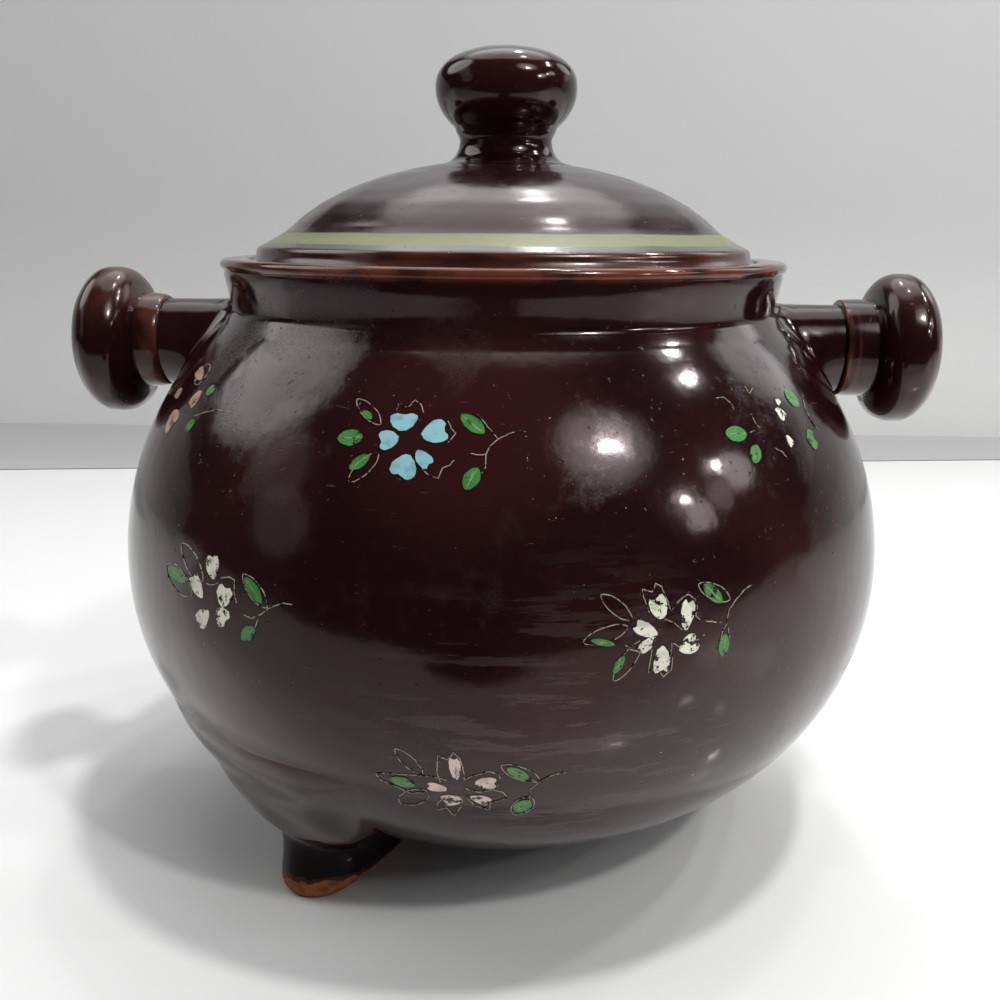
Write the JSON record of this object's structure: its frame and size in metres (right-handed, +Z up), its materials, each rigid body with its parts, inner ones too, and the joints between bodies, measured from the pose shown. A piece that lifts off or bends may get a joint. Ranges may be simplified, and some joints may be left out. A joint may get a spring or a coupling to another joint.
{
  "type": "lidded bean pot",
  "caption": "Round glazed stoneware bean pot on stub feet, with two horizontal knob handles and a loose domed lid with a mushroom knob that sits in a recess in the rim.",
  "frame": {"origin": "on the pot's vertical axis, at the level of the table that the feet stand on", "axes": "+Z up, X along the two handles; the front face of the pot looks along -Y"},
  "size_m": [0.2076, 0.18, 0.1831],
  "materials": {
    "pot_glaze": "glossy dark oxblood-brown glaze with worn matte patches",
    "handle_glaze": "glossy dark oxblood glaze, broken to orange-brown on the edges",
    "lid_glaze": "glossy dark oxblood glaze with a green slip band on the margin",
    "foot_glaze": "dark glaze wiped off to bare orange clay where the pads stand"
  },
  "bodies": {
    "pot": {"pot_body": "pot_glaze", "handle_stub_left": "pot_glaze", "handle_stub_right": "pot_glaze", "handle_knob_left": "handle_glaze", "handle_knob_right": "handle_glaze", "foot_front_left": "foot_glaze", "foot_right": "foot_glaze", "foot_back": "foot_glaze"},
    "lid": {"lid_dome": "lid_glaze", "lid_knob": "lid_glaze"}
  },
  "joints": [
    {"name": "lid_lift", "type": "slide", "parent": "pot", "child": "lid", "axis": [0, 0, 1], "range_m": [0, 0.12]}
  ]
}
